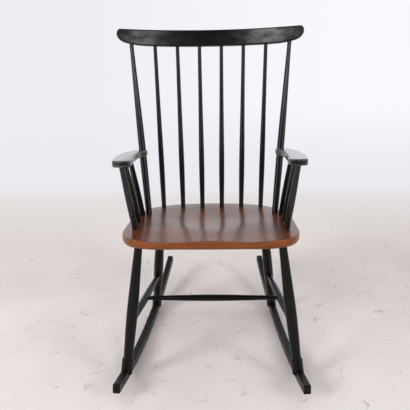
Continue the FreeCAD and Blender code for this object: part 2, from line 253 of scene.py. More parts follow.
def sawn_blank(name: str, outline: np.ndarray) -> bpy.types.Object:
    """A flat face sawn to an outline, lying at height 0.

    Args:
        name: The new piece's name.
        outline: The outline's points, as x and y.

    Returns:
        The new piece.
    """
    clear_selection()
    bpy.ops.mesh.primitive_circle_add(vertices=len(outline), radius=1.0, fill_type="NGON")
    piece = bpy.context.object
    piece.name = name
    piece.data.name = name
    set_rows(piece, np.column_stack([outline, np.zeros(len(outline))]))
    return piece


def placed(piece: bpy.types.Object, matrix: Matrix) -> bpy.types.Object:
    """Move a piece's mesh, so that its object stays at the origin.

    Args:
        piece: The piece.
        matrix: Where its own frame goes.

    Returns:
        The same piece.
    """
    piece.matrix_world = matrix
    clear_selection()
    piece.select_set(True)
    bpy.context.view_layer.objects.active = piece
    bpy.ops.object.transform_apply(location=True, rotation=True, scale=True)
    return piece


def settled(piece: bpy.types.Object, node: str) -> bpy.types.Object:
    """Move a piece so that its box is centred on, and inside, the box of the solid it stands for.

    Args:
        piece: The piece, turned as it should be.
        node: The name of the solid.

    Returns:
        The same piece.
    """
    low, high = (np.array(corner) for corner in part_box(node))
    rows = rows_of(piece)
    own_low, own_high = rows.min(axis=0), rows.max(axis=0)
    factors = np.minimum(1, (high - low) / (own_high - own_low))
    set_rows(piece, (rows - (own_low + own_high) / 2) * factors + (low + high) / 2)
    misfit = np.abs((high - low) - (own_high - own_low)).max() / MM
    LOG.info("%s sits on %s, largest difference in size %.2f mm", piece.name, node, misfit)
    return piece


def smoothed(piece: bpy.types.Object, angle_deg: float = 30.0) -> bpy.types.Object:
    """Shade a piece smoothly up to an angle and keep its flat faces flat.

    Args:
        piece: The piece.
        angle_deg: Edges that turn more than this stay sharp.

    Returns:
        The same piece.
    """
    clear_selection()
    piece.select_set(True)
    bpy.context.view_layer.objects.active = piece
    bpy.ops.object.shade_smooth_by_angle(angle=math.radians(angle_deg))
    weigh = piece.modifiers.new("flat_faces_first", "WEIGHTED_NORMAL")
    weigh.keep_sharp = True
    bpy.ops.object.modifier_apply(modifier=weigh.name)
    return piece


def twin(piece: bpy.types.Object, name: str) -> bpy.types.Object:
    """A mirrored copy for the other side of the chair, with a mesh of its own.

    Args:
        piece: The piece on the right side.
        name: The copy's name.

    Returns:
        The copy.
    """
    copy = piece.copy()
    copy.data = piece.data.copy()
    copy.name = name
    copy.data.name = name
    bpy.context.scene.collection.objects.link(copy)
    bench = Bench(copy)
    bench.pick(Pick.VERTS, lambda place, normal: True)
    bench.resize((-1, 1, 1), (0, 0, 0))
    return bench.close()


def hollowed(piece: bpy.types.Object, cutter: bpy.types.Object) -> bpy.types.Object:
    """Cut one shape out of a piece and throw the cutter away.

    Args:
        piece: The piece.
        cutter: The shape of the hole.

    Returns:
        The same piece.
    """
    clear_selection()
    bpy.context.view_layer.objects.active = piece
    piece.select_set(True)
    cut = piece.modifiers.new("cut", "BOOLEAN")
    cut.operation = "DIFFERENCE"
    cut.solver = "EXACT"
    cut.object = cutter
    bpy.ops.object.modifier_apply(modifier=cut.name)
    bpy.data.objects.remove(cutter)
    return piece


@dataclass(frozen=True)
class Axis:
    """The centre line of a round solid, from its foot to its head."""

    foot: Vector
    head: Vector

    @classmethod
    def of(cls, node: str) -> "Axis":
        """Find a stick's centre line between the middles of its two flat ends.

        Args:
            node: The stick's solid.

        Returns:
            The line, with its foot lower than its head.
        """
        rows = np.unique(rows_of(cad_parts[node]).round(6), axis=0)
        middle = rows.mean(axis=0)
        heading = np.linalg.svd(rows - middle, full_matrices=False)[2][0]
        reach = (rows - middle) @ heading
        ends = [rows[reach < reach.min() + MM / 2].mean(axis=0),
                rows[reach > reach.max() - MM / 2].mean(axis=0)]
        low, high = sorted(ends, key=lambda end: end[2])
        return cls(Vector(low), Vector(high))

    @property
    def length(self) -> float:
        """The distance between the ends."""
        return (self.head - self.foot).length

    def matrix(self) -> Matrix:
        """Where a piece goes that was made up the Z axis from 0."""
        turn = (self.head - self.foot).to_track_quat("Z", "Y")
        return Matrix.Translation(self.foot) @ turn.to_matrix().to_4x4()


@dataclass(frozen=True)
class Turning:
    """The profile of a turned stick between its two tenons."""

    shares: tuple[float, ...]
    diameters: tuple[float, ...]
    foot_tenon: float
    head_tenon: float
    rings: int = 18

    def outline(self, length: float) -> np.ndarray:
        """The stick's profile.

        Args:
            length: The whole length, with both tenons.

        Returns:
            Rows of a height and a radius, from the foot to the head.
        """
        free = length - self.foot_tenon - self.head_tenon
        stations = [(self.foot_tenon + share * free, size / 2)
                    for share, size in zip(self.shares, self.diameters)]
        body = spline(stations, self.rings)
        return np.concatenate([[(0.0, body[0][1])], body, [(length, body[-1][1])]])


@dataclass(frozen=True)
class Lathe:
    """Turns a profile into a round piece."""

    sides: int = 40

    def turn(self, name: str, outline: np.ndarray) -> bpy.types.Object:
        """Make a round piece up the Z axis.

        Args:
            name: The piece's name.
            outline: Rows of a height and a radius, from the foot to the head.

        Returns:
            The piece, standing at the origin.
        """
        clear_selection()
        height, radius = outline[0]
        bpy.ops.mesh.primitive_circle_add(vertices=self.sides, radius=radius, fill_type="NGON",
                                          location=(0, 0, height))
        piece = bpy.context.object
        piece.name = name
        piece.data.name = name
        placed(piece, piece.matrix_world.copy())
        bench = Bench(piece)
        bench.pick(Pick.FACES, lambda place, normal: True)
        for next_height, next_radius in outline[1:]:
            bench.extrude((0, 0, next_height - height))
            ratio = next_radius / radius
            if abs(ratio - 1) > 1e-6:
                bench.resize((ratio, ratio, 1), (0, 0, next_height))
            height, radius = next_height, next_radius
        return bench.close()


@dataclass
class Sticks:
    """All plain turned sticks: back spindles, posts, arm spindles and stretchers."""

    lathe: Lathe = field(default_factory=Lathe)
    spindle: Turning = Turning((0.04, 0.20, 0.58, 0.97), (0.0158, 0.0184, 0.0153, 0.0122), 0.018, 0.025)
    post: Turning = Turning((0.03, 0.22, 0.46, 0.72, 0.96), (0.021, 0.023, 0.023, 0.01825, 0.0135),
                            0.018, 0.025)
    arm_spindle: Turning = Turning((0.08, 0.36, 0.92), (0.0185, 0.020, 0.0155), 0.018, 0.012, 14)
    side_stretcher: Turning = Turning((0.03, 0.46, 0.97), (0.018, 0.024, 0.018), 0.013, 0.013, 20)
    cross_stretcher: Turning = Turning((0.03, 0.46, 0.97), (0.0135, 0.0215, 0.0135), 0.008, 0.008, 20)
    spindle_count: int = 6

    def plan(self) -> dict[str, Turning]:
        """Which profile each stick gets, by the name of its solid."""
        sticks = {f"back_spindle_{number + 1}": self.spindle for number in range(self.spindle_count)}
        for side, _ in SIDES:
            sticks[f"back_post_{side}"] = self.post
            sticks[f"side_stretcher_{side}"] = self.side_stretcher
            for place in ("front", "middle", "rear"):
                sticks[f"arm_spindle_{place}_{side}"] = self.arm_spindle
        sticks["cross_stretcher"] = self.cross_stretcher
        return sticks

    def build(self) -> dict[str, bpy.types.Object]:
        """Turn every stick and set it on its solid's centre line.

        Returns:
            The pieces, by the name of the solid that each stands for.
        """
        made = {}
        for node, turning in self.plan().items():
            axis = Axis.of(node)
            if node.startswith("side_stretcher"):
                axis = Axis(axis.head, axis.foot)
            piece = self.lathe.turn(f"{node}_turned", turning.outline(axis.length))
            made[node] = smoothed(placed(piece, axis.matrix()))
        return made


@dataclass
class Rockers:
    """Curved bars on edge that draw together towards the back."""

    length: float = 0.850
    radius: float = 1.70
    height: float = 0.028
    width: float = 0.0215
    front_spread: float = 0.5486
    rear_spread: float = 0.3836
    lowest_setback: float = 0.3565
    edge_round: float = 0.003
    tip_round: float = 0.005
    cuts: int = 56

    def toe(self) -> float:
        """The angle between a rocker and the chair's middle plane."""
        return math.atan((self.front_spread - self.rear_spread) / 2 / self.length)

    def lowest(self) -> Vector:
        """The point where the right rocker touches the floor."""
        share = self.lowest_setback / self.length
        spread = self.front_spread + (self.rear_spread - self.front_spread) * share
        return Vector((spread / 2, self.lowest_setback - self.length / 2, 0))

    def bar(self, name: str, sole: float, top: float, width: float,
            rounded: bool = False) -> bpy.types.Object:
        """A bar sawn straight, then bent and set in the right rocker's place.

        Args:
            name: The piece's name.
            sole: The radius of its underside.
            top: The radius of its top.
            width: Its width.
            rounded: Whether its tips and edges are rounded over.

        Returns:
            The bar.
        """
        run = math.cos(self.toe())
        front = math.asin(self.lowest_setback / run / self.radius)
        rear = math.asin((self.length - self.lowest_setback) / run / self.radius)
        half, side = self.radius * (front + rear) / 2, width / 2
        clear_selection()
        bpy.ops.mesh.primitive_cube_add(size=1.0, location=(0, 0, 0))
        piece = bpy.context.object
        piece.name = name
        piece.data.name = name
        bench = Bench(piece)
        bench.pick(Pick.FACES, lambda place, normal: True)
        bench.resize((width, 2 * half, sole - top), (0, 0, 0))
        if rounded:
            bench.pick(Pick.EDGES, lambda place, line: abs(line.x) > 0.9)
            bench.bevel(self.tip_round, 5)
            bench.pick(Pick.EDGES, lambda place, line: abs(place.x) > side - MM / 10)
            bench.bevel(self.edge_round, 4)
        for y in np.linspace(self.tip_round - half, half - self.tip_round, self.cuts):
            bpy.ops.mesh.select_all(action="SELECT")
            bpy.ops.mesh.bisect(plane_co=(0, y, 0), plane_no=(0, 1, 0))
        bench.close()
        rows = rows_of(piece)
        angle = rows[:, 1] / self.radius + (rear - front) / 2
        radius = (sole + top) / 2 - rows[:, 2]
        bent = [rows[:, 0], radius * np.sin(angle), self.radius - radius * np.cos(angle)]
        set_rows(piece, np.column_stack(bent))
        return placed(piece, Matrix.Translation(self.lowest()) @ Matrix.Rotation(self.toe(), 4, "Z"))

    def build(self) -> dict[str, bpy.types.Object]:
        """Make both rockers.

        Returns:
            The pieces, by the name of the solid that each stands for.
        """
        right = self.bar("rocker_right_bent", self.radius, self.radius - self.height, self.width, True)
        smoothed(settled(right, "rocker_right"))
        return {"rocker_right": right, "rocker_left": twin(right, "rocker_left_bent")}


@dataclass
class Legs:
    """Turned legs with round, slotted feet that straddle the rockers."""

    lathe: Lathe = field(default_factory=lambda: Lathe(48))
    turning: Turning = Turning((0.04, 0.28, 0.62, 0.82, 0.97), (0.024, 0.029, 0.034, 0.03125, 0.0285),
                               0.018, 0.0, 20)
    foot_diameter: float = 0.0355
    foot_height: float = 0.034
    cheek_depth: float = 0.015
    foot_round: float = 0.003
    round_steps: int = 4
    fit: float = 0.0002
    pin_diameter: float = 0.007

    def axis(self, node: str) -> Axis:
        """A leg's centre line, square to its flat top.

        Args:
            node: The leg's solid.

        Returns:
            The line from the top of the tenon down to the end of the foot.
        """
        rows = np.unique(rows_of(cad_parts[node]).round(7), axis=0)
        rough = np.linalg.svd(rows - rows.mean(axis=0), full_matrices=False)[2][0]
        rough = rough if rough[2] < 0 else -rough
        reach = rows @ rough
        ring = rows[reach < reach.min() + 2 * MM]
        middle = ring.mean(axis=0)
        down = np.linalg.svd(ring - middle)[2][2]
        down = down if down[2] < 0 else -down
        length = ((rows - middle) @ down).max()
        return Axis(Vector(middle), Vector(middle + down * length))

    def outline(self, length: float) -> np.ndarray:
        """The profile from the tenon down to the end of the foot.

        Args:
            length: The whole length.

        Returns:
            Rows of a distance from the top and a radius.
        """
        foot_start = length - self.foot_height - self.cheek_depth
        upper = self.turning.outline(foot_start)[:-1]
        ankle = upper[-1][1]
        wide = self.foot_diameter / 2
        quarter = np.linspace(0, math.pi / 2, self.round_steps + 1)
        shoulder = [(foot_start + self.foot_round * (1 - math.cos(turn)),
                     wide - self.foot_round * (1 - math.sin(turn))) for turn in quarter]
        end = [(length - self.foot_round * (1 - math.sin(turn)),
                wide - self.foot_round * (1 - math.cos(turn))) for turn in quarter]
        return np.concatenate([upper, [(foot_start, ankle)], shoulder, end])

    def pin_hole(self, node: str, axis: Axis, toe: float) -> bpy.types.Object:
        """A cutter for the pin's hole.

        Args:
            node: The leg's solid.
            axis: The leg's centre line.
            toe: The rocker's angle to the chair's middle plane.

        Returns:
            The cutter.
        """
        down = (axis.head - axis.foot).normalized()
        centre = axis.head - down * self.cheek_depth / 2
        across = Vector((math.cos(toe), math.sin(toe), 0))
        hole = Axis(centre - across * self.foot_diameter, centre + across * self.foot_diameter)
        radius = self.pin_diameter / 2 + self.fit
        cutter = self.lathe.turn(f"{node}_pin_hole", np.array([(0, radius), (hole.length, radius)]))
        return placed(cutter, hole.matrix())

    def build(self, rockers: Rockers) -> dict[str, bpy.types.Object]:
        """Make the four legs.

        Args:
            rockers: The rockers that the feet straddle.

        Returns:
            The pieces, by the name of the solid that each stands for.
        """
        made = {}
        for place in ("front", "rear"):
            node = f"{place}_leg_right"
            axis = self.axis(node)
            leg = placed(self.lathe.turn(f"{node}_turned", self.outline(axis.length)), axis.matrix())
            slot = rockers.bar(f"{node}_slot", rockers.radius + self.foot_diameter,
                               rockers.radius - rockers.height - self.fit, rockers.width + 2 * self.fit)
            hollowed(leg, slot)
            hollowed(leg, self.pin_hole(node, axis, rockers.toe()))
            made[node] = smoothed(leg)
            made[f"{place}_leg_left"] = twin(leg, f"{place}_leg_left_turned")
        return made


@dataclass
class CrestRail:
    """A bent board on top of the back, with swept lower corners."""

    length: float = 0.605
    height: float = 0.0525
    thickness: float = 0.021
    end_thickness: float = 0.018
    bow: float = 0.057
    camber: float = 0.0015
    lean_deg: float = 12.0
    edge_round: float = 0.004
    end_shares: tuple[Spot, ...] = ((0.60, 0.0), (0.79, 0.037), (0.883, 0.115), (0.956, 0.255),
                                    (0.988, 0.43), (1.0, 0.67), (0.992, 0.88), (0.968, 1.0))
    end_steps: int = 22
    cuts: int = 60

    def outline(self) -> np.ndarray:
        """The rail's outline seen square on, with x across and y up."""
        half, end_height = self.length / 2, self.height - self.camber
        points = [(x * half, y * end_height) for x, y in self.end_shares]
        right = spline(points, self.end_steps, (1, 0), (-1, 0))
        top = arc(tuple(right[-1]), -self.camber, (-right[-1][0], end_height), self.end_steps)
        left = right[::-1] * (-1, 1)
        return np.concatenate([right, top[1:-1], left])

    def bent(self, rows: np.ndarray) -> np.ndarray:
        """Bend a straight board to the rail's curve.

        Args:
            rows: The vertices, with y through the board from its middle.

        Returns:
            The vertices, bent.
        """
        half = self.length / 2
        radius = (half ** 2 + self.bow ** 2) / (2 * self.bow)
        thin = 1 - (1 - self.end_thickness / self.thickness) * (rows[:, 0] / half) ** 2
        line = np.sqrt(radius ** 2 - rows[:, 0] ** 2) - radius
        return np.column_stack([rows[:, 0], line + rows[:, 1] * thin, rows[:, 2]])

    def build(self) -> dict[str, bpy.types.Object]:
        """Make the rail.

        Returns:
            The piece, by the name of the solid that it stands for.
        """
        piece = sawn_blank("crest_rail_bent", self.outline())
        bench = Bench(piece)
        bench.pick(Pick.FACES, lambda place, normal: True)
        bench.extrude((0, 0, self.thickness))
        rim = self.thickness
        bench.pick(Pick.EDGES, lambda place, normal: place.z < MM / 10)
        bench.bevel(self.edge_round, 5)
        bench.pick(Pick.EDGES, lambda place, normal: place.z > rim - MM / 10)
        bench.bevel(self.edge_round, 5)
        half = self.length / 2
        for x in np.linspace(-half, half, self.cuts + 1)[1:-1]:
            bpy.ops.mesh.select_all(action="SELECT")
            bpy.ops.mesh.bisect(plane_co=(x, 0, 0), plane_no=(1, 0, 0))
        bench.close()
        rows = rows_of(piece)
        upright = np.column_stack([rows[:, 0], self.thickness / 2 - rows[:, 2], rows[:, 1]])
        set_rows(piece, self.bent(upright))
        placed(piece, Matrix.Rotation(-math.radians(self.lean_deg), 4, "X"))
        return {"crest_rail": smoothed(settled(piece, "crest_rail"))}


@dataclass
class Arms:
    """Flat paddles that end in an eye round the back posts."""

    length: float = 0.276
    width: float = 0.060
    thickness: float = 0.0195
    rear_drop: float = 0.026
    edge_round: float = 0.004
    corner_reach: float = 0.0085
    side_shares: tuple[Spot, ...] = (
        (0.865, -0.928), (0.965, -0.717), (0.975, -0.536), (0.90, -0.319), (0.685, -0.138),
        (0.38, 0.016), (0.05, 0.0616), (-0.245, 0.018), (-0.265, -0.06), (-0.04, -0.18),
        (0.045, -0.33), (0.05, -0.52), (0.005, -0.73), (-0.047, -0.938),
    )
    front_share: Spot = (0.41, -0.956)
    side_steps: int = 90
    hole: Turning = Sticks.post
    fit: float = 0.0002

    def outline(self) -> np.ndarray:
        """The arm's outline seen from above."""
        scale = np.array([self.width, self.length])
        side = spline([np.array(share) * scale for share in self.side_shares], self.side_steps)
        middle = np.array(self.front_share) * scale
        front = spline([side[-1], middle, side[0]], 14)
        whole = np.concatenate([side, front[1:-1]])
        whole = softened(whole, self.side_steps - 1, self.corner_reach, 5)
        corner = int(np.argmin(np.linalg.norm(whole - side[0], axis=1)))
        return softened(whole, corner, self.corner_reach, 5)

    def build(self) -> dict[str, bpy.types.Object]:
        """Make both arms.

        Returns:
            The pieces, by the name of the solid that each stands for.
        """
        piece = sawn_blank("arm_right_sawn", self.outline())
        bench = Bench(piece)
        bench.pick(Pick.FACES, lambda place, normal: True)
        bench.extrude((0, 0, self.thickness))
        top = self.thickness
        bench.pick(Pick.EDGES, lambda place, normal: place.z < MM / 10)
        bench.bevel(self.edge_round, 5)
        bench.pick(Pick.EDGES, lambda place, normal: place.z > top - MM / 10)
        bench.bevel(self.edge_round, 5)
        bench.close()
        slope = math.asin(self.rear_drop / self.length)
        placed(piece, Matrix.Rotation(-slope, 4, "X"))
        settled(piece, "arm_right")
        post = Axis.of("back_post_right")
        grown = self.hole.outline(post.length) + np.array([0, self.fit])
        cutter = placed(Lathe().turn("arm_eye", grown), post.matrix())
        smoothed(hollowed(piece, cutter))
        return {"arm_right": piece, "arm_left": twin(piece, "arm_left_sawn")}


@dataclass
class SeatBoard:
    """The thick seat, hollowed for a sitter and rounded over underneath."""

    width: float = 0.530
    depth: float = 0.434
    thickness: float = 0.028
    rear_drop: float = 0.028
    top_round: float = 0.005
    bottom_round: float = 0.013
    hollow_depth: float = 0.010
    thigh_depth: float = 0.0045
    outline_shares: tuple[Spot, ...] = (
        (0.0, 0.0), (0.354, 0.002), (0.667, 0.010), (0.893, 0.070), (0.9875, 0.185),
        (0.9945, 0.36), (0.97, 0.62), (0.819, 0.84), (0.607, 0.937), (0.303, 0.984), (0.0, 1.0),
    )
    sitting_centre_share: float = 0.58
    sitting_width_share: float = 0.86
    sitting_length_share: float = 0.40
    thigh_centre_share: float = 0.43
    thigh_width_share: float = 0.40
    thigh_length_share: float = 0.75
    side_steps: int = 73
    rings: int = 30

    def outline(self) -> np.ndarray:
        """The seat's outline seen from above, with y back from the front edge."""
        scale = np.array([self.width / 2, self.depth])
        points = [np.array(share) * scale for share in self.outline_shares]
        right = spline(points, self.side_steps, (1, 0), (-1, 0))
        left = right[-2:0:-1] * (-1, 1)
        return np.concatenate([right, left])

    def saddle(self, x: np.ndarray, setback: np.ndarray) -> np.ndarray:
        """How far the hollowed top lies below the board's flat top.

        Args:
            x: Places across the seat.
            setback: Places back from the front edge.

        Returns:
            The depths.
        """
        def bump(share: np.ndarray) -> np.ndarray:
            return (1 + np.cos(np.pi * np.minimum(1, np.abs(share)))) / 2

        half = self.width / 2
        across = x / (self.sitting_width_share * half)
        centre = self.sitting_centre_share * self.depth
        back = (setback - centre) / (self.sitting_length_share * self.depth)
        sitting = self.hollow_depth * bump(np.hypot(across, back))
        beside = (np.abs(x) - self.thigh_centre_share * half) / (self.thigh_width_share * half)
        thigh = self.thigh_depth * bump(beside) * bump(setback / (self.thigh_length_share * self.depth))
        return np.hypot(sitting, thigh)

    def build(self) -> dict[str, bpy.types.Object]:
        """Make the seat.

        Returns:
            The piece, by the name of the solid that it stands for.
        """
        piece = sawn_blank("seat_carved", self.outline())
        bench = Bench(piece)
        bench.pick(Pick.FACES, lambda place, normal: True)
        bench.extrude((0, 0, -self.thickness))
        under = -self.thickness
        bench.pick(Pick.EDGES, lambda place, normal: place.z < under + MM / 10)
        bench.bevel(self.bottom_round, 9)
        bench.pick(Pick.EDGES, lambda place, normal: place.z > -MM / 10)
        bench.bevel(self.top_round, 6)
        bench.pick(Pick.FACES, lambda place, normal: place.z > -MM / 10 and abs(normal.z) > 0.99)
        centre = (0, self.sitting_centre_share * self.depth, 0)
        size = 1.0
        for ring in range(self.rings):
            wanted = 1 - (ring + 1) / (self.rings + 1)
            bench.extrude((0, 0, 0))
            bench.resize((wanted / size, wanted / size, 1), centre)
            size = wanted
        bpy.ops.mesh.merge(type="CENTER")
        bench.close()
        rows = rows_of(piece)
        carved = rows[:, 2] > -self.top_round - MM / 10
        rows[carved, 2] -= self.saddle(rows[carved, 0], rows[carved, 1])
        set_rows(piece, rows)
        slope = math.asin(self.rear_drop / self.depth)
        placed(piece, Matrix.Rotation(-slope, 4, "X"))
        return {"seat": smoothed(settled(piece, "seat"))}


def new_group(name: str, inputs: dict[str, float], outputs: Sequence[str]) -> bpy.types.NodeTree:
    """An empty shader group with named sockets.

    Args:
        name: The group's name.
        inputs: The input values and their defaults.
        outputs: The names of the output values.

    Returns:
        The group.
    """
    group = bpy.data.node_groups.new(name, "ShaderNodeTree")
    group.interface.new_socket("Place", in_out="INPUT", socket_type="NodeSocketVector")
    for label, value in inputs.items():
        socket = group.interface.new_socket(label, in_out="INPUT", socket_type="NodeSocketFloat")
        socket.default_value = value
    for label in outputs:
        group.interface.new_socket(label, in_out="OUTPUT", socket_type="NodeSocketFloat")
    return group


class Weave:
    """Short ways to add and join the nodes of one tree."""

    def __init__(self, tree: bpy.types.NodeTree) -> None:
        """Work on a tree.

        Args:
            tree: The node tree.
        """
        self.tree = tree

    def add(self, kind: str, **settings: object) -> bpy.types.Node:
        """A new node with some of its settings."""
        node = self.tree.nodes.new(kind)
        for key, value in settings.items():
            setattr(node, key, value)
        return node

    def join(self, source: bpy.types.NodeSocket, target: bpy.types.NodeSocket) -> None:
        """A link between two sockets."""
        self.tree.links.new(source, target)

    def math(self, operation: str, first: object, second: object) -> bpy.types.NodeSocket:
        """A sum of two sockets or numbers.

        Args:
            operation: The kind of sum.
            first: A socket or a number.
            second: A socket or a number.

        Returns:
            The result's socket.
        """
        node = self.add("ShaderNodeMath", operation=operation)
        for socket, value in zip(node.inputs, (first, second)):
            if isinstance(value, (int, float)):
                socket.default_value = value
            else:
                self.join(value, socket)
        return node.outputs[0]

    def noise(self, place: bpy.types.NodeSocket, scale: object, detail: float) -> bpy.types.NodeSocket:
        """Smooth noise at a scale.

        Args:
            place: Where it is read.
            scale: A socket or a number.
            detail: How many finer layers it gets.

        Returns:
            The value's socket.
        """
        node = self.add("ShaderNodeTexNoise")
        node.inputs["Detail"].default_value = detail
        if isinstance(scale, (int, float)):
            node.inputs["Scale"].default_value = scale
        else:
            self.join(scale, node.inputs["Scale"])
        self.join(place, node.inputs["Vector"])
        return node.outputs["Fac"]

    def blend(self, share: bpy.types.NodeSocket, first: object, second: object) -> bpy.types.NodeSocket:
        """A colour between two others.

        Args:
            share: How much of the second there is.
            first: A socket or a colour.
            second: A socket or a colour.

        Returns:
            The colour's socket.
        """
        node = self.add("ShaderNodeMix", data_type="RGBA")
        self.join(share, node.inputs["Factor"])
        for socket, value in zip((node.inputs["A"], node.inputs["B"]), (first, second)):
            if isinstance(value, tuple):
                socket.default_value = value
            else:
                self.join(value, socket)
        return node.outputs["Result"]

    def range(self, value: bpy.types.NodeSocket, low: float, high: float, to_low: float,
              to_high: float) -> bpy.types.NodeSocket:
        """A value moved from one range to another, and kept inside it."""
        node = self.add("ShaderNodeMapRange")
        self.join(value, node.inputs["Value"])
        for label, number in (("From Min", low), ("From Max", high), ("To Min", to_low),
                              ("To Max", to_high)):
            node.inputs[label].default_value = number
        return node.outputs["Result"]


def grain_group() -> bpy.types.NodeTree:
    """Wood grain that runs along X: a tone from 0 to 1, and a height."""
    group = new_group("wood_grain", {"Figure": 5.0, "Pores": 90.0, "Stretch": 0.07}, ("Tone", "Height"))
    weave = Weave(group)
    inside, outside = weave.add("NodeGroupInput"), weave.add("NodeGroupOutput")
    long = weave.add("ShaderNodeCombineXYZ")
    long.inputs["Y"].default_value = 1.0
    long.inputs["Z"].default_value = 1.0
    weave.join(inside.outputs["Stretch"], long.inputs["X"])
    drawn = weave.add("ShaderNodeVectorMath", operation="MULTIPLY")
    weave.join(inside.outputs["Place"], drawn.inputs[0])
    weave.join(long.outputs[0], drawn.inputs[1])
    figure = weave.noise(drawn.outputs[0], inside.outputs["Figure"], 3.0)
    rings = weave.math("SINE", weave.math("MULTIPLY", figure, 38.0), 0.0)
    broad = weave.range(rings, -1.0, 1.0, 0.0, 1.0)
    pores = weave.noise(drawn.outputs[0], inside.outputs["Pores"], 4.0)
    streaks = weave.range(pores, 0.35, 0.7, 0.0, 1.0)
    tone = weave.math("ADD", weave.math("MULTIPLY", broad, 0.45), weave.math("MULTIPLY", streaks, 0.55))
    weave.join(tone, outside.inputs["Tone"])
    weave.join(streaks, outside.inputs["Height"])
    return group


def cement_group() -> bpy.types.NodeTree:
    """A cast floor: soft clouds, and specks with short hairline cracks, each from 0 to 1."""
    group = new_group("cast_floor", {"Clouds": 3.0, "Specks": 55.0, "Cracks": 9.0}, ("Cloud", "Crack"))
    weave = Weave(group)
    inside, outside = weave.add("NodeGroupInput"), weave.add("NodeGroupOutput")
    place = inside.outputs["Place"]
    clouds = weave.noise(place, inside.outputs["Clouds"], 6.0)
    specks = weave.range(weave.noise(place, inside.outputs["Specks"], 2.0), 0.69, 0.76, 0.0, 1.0)
    specks = weave.math("MULTIPLY", specks, weave.range(weave.noise(place, 5.0, 2.0), 0.42, 0.6, 0.1, 1.0))
    cells = weave.add("ShaderNodeTexVoronoi", feature="DISTANCE_TO_EDGE")
    bent = weave.add("ShaderNodeVectorMath", operation="ADD")
    waver = weave.add("ShaderNodeTexNoise")
    waver.inputs["Scale"].default_value = 6.0
    weave.join(place, waver.inputs["Vector"])
    small = weave.add("ShaderNodeVectorMath", operation="SCALE")
    small.inputs["Scale"].default_value = 0.35
    weave.join(waver.outputs["Color"], small.inputs[0])
    weave.join(place, bent.inputs[0])
    weave.join(small.outputs[0], bent.inputs[1])
    weave.join(bent.outputs[0], cells.inputs["Vector"])
    weave.join(inside.outputs["Cracks"], cells.inputs["Scale"])
    lines = weave.range(cells.outputs["Distance"], 0.0, 0.022, 1.0, 0.0)
    where = weave.range(weave.noise(place, 14.0, 2.0), 0.54, 0.64, 0.0, 0.9)
    cracks = weave.math("MULTIPLY", lines, where)
    weave.join(weave.range(clouds, 0.3, 0.7, 0.0, 1.0), outside.inputs["Cloud"])
    weave.join(weave.math("MAXIMUM", specks, cracks), outside.inputs["Crack"])
    return group


def handling_group() -> bpy.types.NodeTree:
    """Marks of use: soft patches, small marks and low waves, each from 0 to 1."""
    group = new_group("handling", {"Patches": 9.0, "Marks": 60.0, "Waves": 60.0}, ("Patch", "Mark", "Wave"))
    weave = Weave(group)
    inside, outside = weave.add("NodeGroupInput"), weave.add("NodeGroupOutput")
    patches = weave.noise(inside.outputs["Place"], inside.outputs["Patches"], 2.0)
    marks = weave.noise(inside.outputs["Place"], inside.outputs["Marks"], 5.0)
    weave.join(weave.range(patches, 0.35, 0.65, 0.0, 1.0), outside.inputs["Patch"])
    weave.join(weave.range(marks, 0.45, 0.75, 0.0, 1.0), outside.inputs["Mark"])
    long = weave.add("ShaderNodeMapping")
    long.inputs["Scale"].default_value = (0.35, 1.0, 1.0)
    weave.join(inside.outputs["Place"], long.inputs["Vector"])
    waves = weave.noise(long.outputs["Vector"], inside.outputs["Waves"], 3.0)
    weave.join(waves, outside.inputs["Wave"])
    return group


@dataclass(frozen=True)
class Groups:
    """The shader groups that the finishes share."""

    grain: bpy.types.NodeTree
    handling: bpy.types.NodeTree


